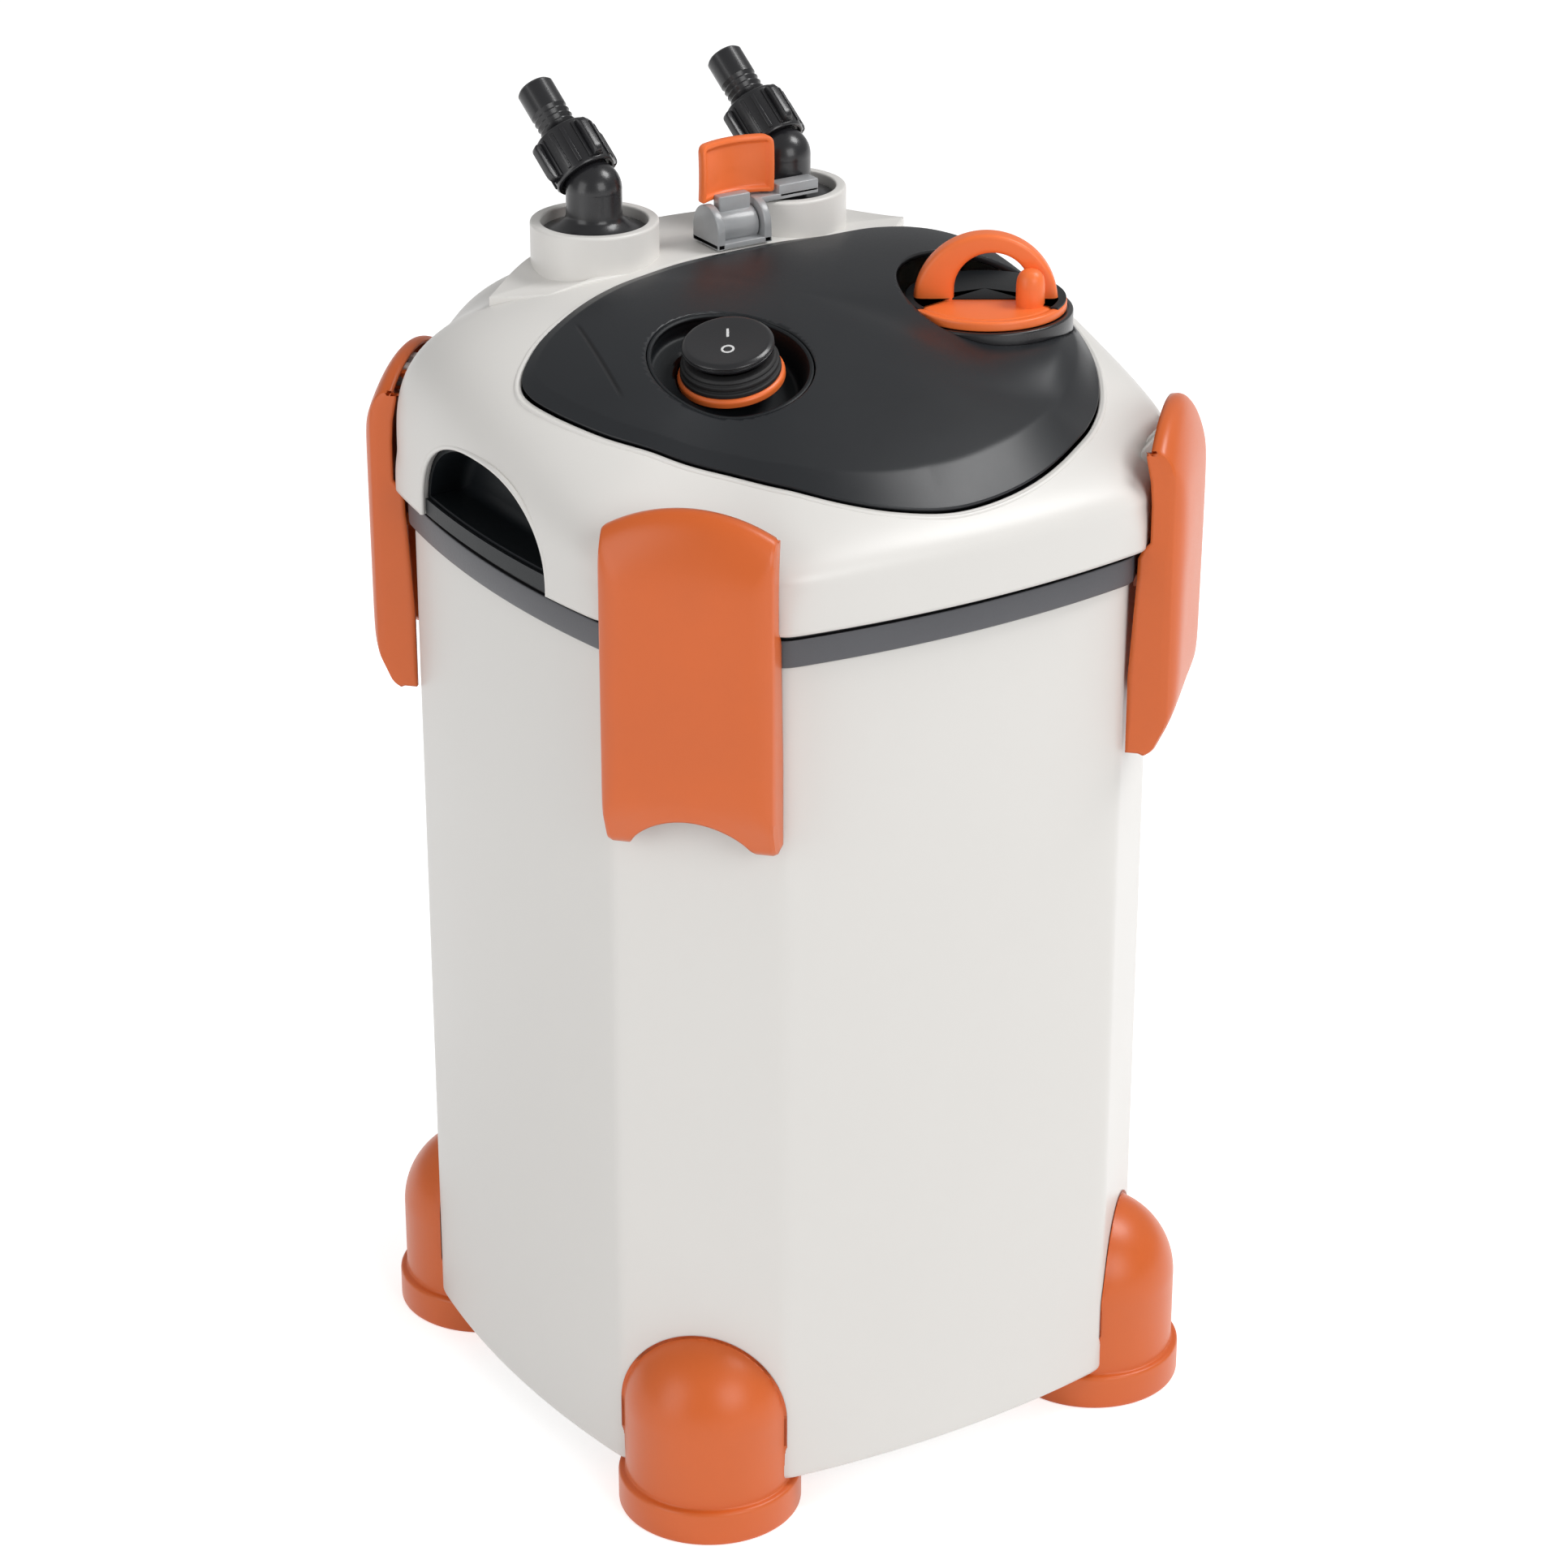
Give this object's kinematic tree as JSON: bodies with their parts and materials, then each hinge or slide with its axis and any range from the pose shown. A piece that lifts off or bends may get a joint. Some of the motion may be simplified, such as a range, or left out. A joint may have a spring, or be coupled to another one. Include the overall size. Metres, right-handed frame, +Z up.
{
  "type": "canister filter",
  "caption": "Square canister aquarium filter: domed pump head held by corner clips, media trays, rocker switch, pre-filter cap, shut-off lever and swivelling hose connectors.",
  "frame": {"origin": "centre of the footprint on the floor, under the middle of the canister", "axes": "+Z up; -Y is the front, below the sloping side of the cover; +Y is the hose side; +X is the pre-filter side"},
  "size_m": [0.244, 0.2446, 0.4719],
  "materials": {
    "white_plastic": "smooth satin white plastic",
    "orange_plastic": "satin orange plastic",
    "bright_orange": "satin bright orange plastic",
    "dark_plastic": "fine-grained charcoal plastic",
    "black_plastic": "satin black plastic",
    "grey_plastic": "pale grey plastic",
    "black_rubber": "soft black rubber",
    "steel": "bright steel",
    "magnet": "dark ferrite",
    "resin": "potting resin",
    "coarse_media": "porous ceramic rings packed in a tray",
    "fine_media": "white filter wool",
    "sponge": "open-cell blue foam"
  },
  "bodies": {
    "canister": {"canister_shell": "white_plastic", "foot_front_left": "orange_plastic", "foot_front_right": "orange_plastic", "foot_back_left": "orange_plastic", "foot_back_right": "orange_plastic", "rim_band": "dark_plastic", "body_gasket": "black_rubber", "riser_tube": "dark_plastic"},
    "lower_tray": {"basket_lower": "dark_plastic", "media_lower": "coarse_media"},
    "middle_tray": {"basket_middle": "dark_plastic", "media_middle": "fine_media"},
    "upper_tray": {"basket_upper": "dark_plastic", "media_upper": "sponge"},
    "head": {"head_shell": "white_plastic", "head_base": "dark_plastic", "base_screws": "steel", "top_cover": "dark_plastic", "grip_left": "black_plastic", "grip_right": "black_plastic", "cable_gland": "black_plastic", "clip_pins": "steel", "switch_housing": "black_plastic", "switch_seal": "bright_orange", "switch_boot": "black_rubber", "prefilter_well": "black_plastic", "stator": "resin", "rotor_shaft": "steel", "shaft_bushes": "black_rubber", "chamber_cover": "dark_plastic", "inlet_pipe": "grey_plastic", "outlet_pipe": "grey_plastic", "lever_bracket": "grey_plastic", "lever_pin": "steel"},
    "clip_fl": {"clip_front_left": "orange_plastic"},
    "clip_fr": {"clip_front_right": "orange_plastic"},
    "clip_bl": {"clip_back_left": "orange_plastic"},
    "clip_br": {"clip_back_right": "orange_plastic"},
    "rocker_button": {"rocker": "black_plastic"},
    "cartridge": {"prefilter_cage": "dark_plastic", "prefilter_sponge": "sponge"},
    "cartridge_cap": {"prefilter_cap": "bright_orange", "cap_seal": "black_rubber"},
    "rotor": {"rotor_magnet": "magnet", "impeller": "grey_plastic"},
    "valve": {"valve_rod": "grey_plastic", "valve_disc_inlet": "orange_plastic", "valve_disc_outlet": "orange_plastic"},
    "shutoff_lever": {"lever": "bright_orange"},
    "inlet_connector": {"elbow_inlet": "black_plastic", "tail_inlet": "black_plastic", "elbow_seals_inlet": "black_rubber"},
    "outlet_connector": {"elbow_outlet": "black_plastic", "tail_outlet": "black_plastic", "elbow_seals_outlet": "black_rubber"},
    "inlet_nut": {"nut_inlet": "black_plastic"},
    "outlet_nut": {"nut_outlet": "black_plastic"}
  },
  "joints": [
    {"name": "head_lift", "type": "slide", "parent": "canister", "child": "head", "axis": [0, 0, 1], "range_m": [0, 0.48]},
    {"name": "upper_tray_lift", "type": "slide", "parent": "canister", "child": "upper_tray", "axis": [0, 0, 1], "range_m": [0, 0.432]},
    {"name": "middle_tray_lift", "type": "slide", "parent": "canister", "child": "middle_tray", "axis": [0, 0, 1], "range_m": [0, 0.384]},
    {"name": "lower_tray_lift", "type": "slide", "parent": "canister", "child": "lower_tray", "axis": [0, 0, 1], "range_m": [0, 0.336]},
    {"name": "clip_br_swing", "type": "hinge", "parent": "head", "child": "clip_br", "pos_m": [0.09544, 0.09544, 0.3735], "axis": [0.7071, -0.7071, 0], "range_deg": [0, 28]},
    {"name": "clip_bl_swing", "type": "hinge", "parent": "head", "child": "clip_bl", "pos_m": [-0.09544, 0.09544, 0.3735], "axis": [0.7071, 0.7071, 0], "range_deg": [0, 28]},
    {"name": "clip_fl_swing", "type": "hinge", "parent": "head", "child": "clip_fl", "pos_m": [-0.09544, -0.09544, 0.3735], "axis": [-0.7071, 0.7071, 0], "range_deg": [0, 28]},
    {"name": "clip_fr_swing", "type": "hinge", "parent": "head", "child": "clip_fr", "pos_m": [0.09544, -0.09544, 0.3735], "axis": [-0.7071, -0.7071, 0], "range_deg": [0, 28]},
    {"name": "rocker_tilt", "type": "hinge", "parent": "head", "child": "rocker_button", "pos_m": [-0.03805, -0.02731, 0.39944], "axis": [0.6428, -0.766, 0], "range_deg": [-7, 7]},
    {"name": "cartridge_lift", "type": "slide", "parent": "head", "child": "cartridge", "axis": [0, 0, 1], "range_m": [0, 0.14]},
    {"name": "cap_turn", "type": "hinge", "parent": "cartridge", "child": "cartridge_cap", "pos_m": [0.068, -0.023, 0.402], "axis": [0, 0, 1], "range_deg": [0, 60]},
    {"name": "rotor_spin", "type": "hinge", "parent": "head", "child": "rotor", "pos_m": [0.008, 0.012, 0.35], "axis": [0, 0, 1], "continuous": true},
    {"name": "lever_turn", "type": "hinge", "parent": "head", "child": "shutoff_lever", "pos_m": [0.008, 0.0465, 0.422], "axis": [1, 0, 0], "range_deg": [0, 90]},
    {"name": "valve_turn", "type": "hinge", "parent": "head", "child": "valve", "pos_m": [0, 0.062, 0.385], "axis": [1, 0, 0], "range_deg": [0, 90]},
    {"name": "inlet_swivel", "type": "hinge", "parent": "head", "child": "inlet_connector", "pos_m": [0.0386, 0.062, 0.43], "axis": [0, 0, 1], "range_deg": [-50, 50]},
    {"name": "outlet_swivel", "type": "hinge", "parent": "head", "child": "outlet_connector", "pos_m": [-0.0386, 0.062, 0.43], "axis": [0, 0, 1], "range_deg": [-50, 50]},
    {"name": "inlet_nut_turn", "type": "hinge", "parent": "inlet_connector", "child": "inlet_nut", "pos_m": [0.0386, 0.062, 0.4385], "axis": [-0.0934, 0.7603, 0.6428], "continuous": true},
    {"name": "outlet_nut_turn", "type": "hinge", "parent": "outlet_connector", "child": "outlet_nut", "pos_m": [-0.0386, 0.062, 0.4385], "axis": [-0.0934, 0.7603, 0.6428], "continuous": true}
  ],
  "couplings": [
    {"joint": "upper_tray_lift", "follows": "head_lift", "ratio": 0.9},
    {"joint": "middle_tray_lift", "follows": "head_lift", "ratio": 0.8},
    {"joint": "lower_tray_lift", "follows": "head_lift", "ratio": 0.7},
    {"joint": "valve_turn", "follows": "lever_turn", "ratio": 1}
  ]
}
